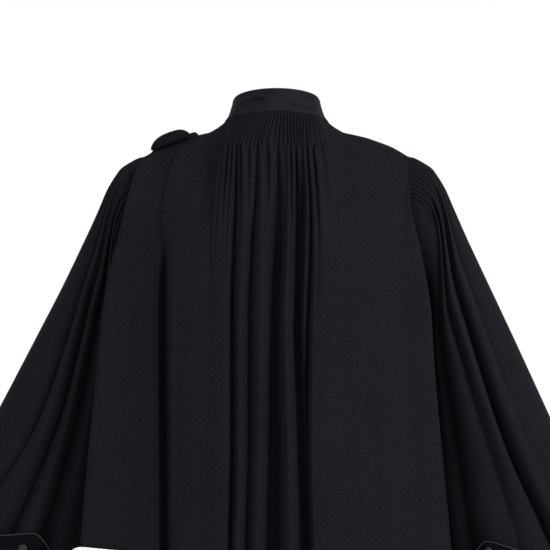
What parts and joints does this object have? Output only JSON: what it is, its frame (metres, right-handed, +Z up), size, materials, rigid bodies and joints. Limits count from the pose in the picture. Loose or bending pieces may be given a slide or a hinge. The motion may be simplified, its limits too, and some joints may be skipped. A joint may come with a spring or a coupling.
{
  "type": "judicial robe",
  "caption": "Black judicial robe with pleated back, satin stand collar, wide sleeves with turned-back satin cuffs and a fur-ended shoulder sash, in the shape it takes when worn.",
  "frame": {"origin": "middle of the neck opening, level with the collar seam at the sides of the neck", "axes": "+Z up, -Y towards the front, +X towards the wearer's left"},
  "size_m": [1.2131, 0.3981, 1.3461],
  "materials": {
    "wool": "matt black woollen cloth",
    "satin": "black satin",
    "button_cloth": "black cloth-covered buttons",
    "fur": "white fur"
  },
  "bodies": {
    "root": {"collar_band": "satin", "back_panel": "wool", "front_left": "wool", "front_right": "wool", "front_placket": "wool", "yoke_left": "wool", "yoke_right": "wool", "sleeve_left": "wool", "sleeve_right": "wool", "cuff_left": "satin", "cuff_right": "satin", "cuff_button_left": "button_cloth", "cuff_button_right": "button_cloth", "front_button_01": "button_cloth", "front_button_02": "button_cloth", "front_button_03": "button_cloth", "front_button_04": "button_cloth", "front_button_05": "button_cloth", "front_button_06": "button_cloth", "front_button_07": "button_cloth", "front_button_08": "button_cloth", "front_button_09": "button_cloth", "sash_back_tail": "wool", "sash_front_tail": "wool", "sash_pad": "wool", "sash_tab": "wool", "fur_band_back": "fur", "fur_band_front": "fur"}
  },
  "joints": []
}
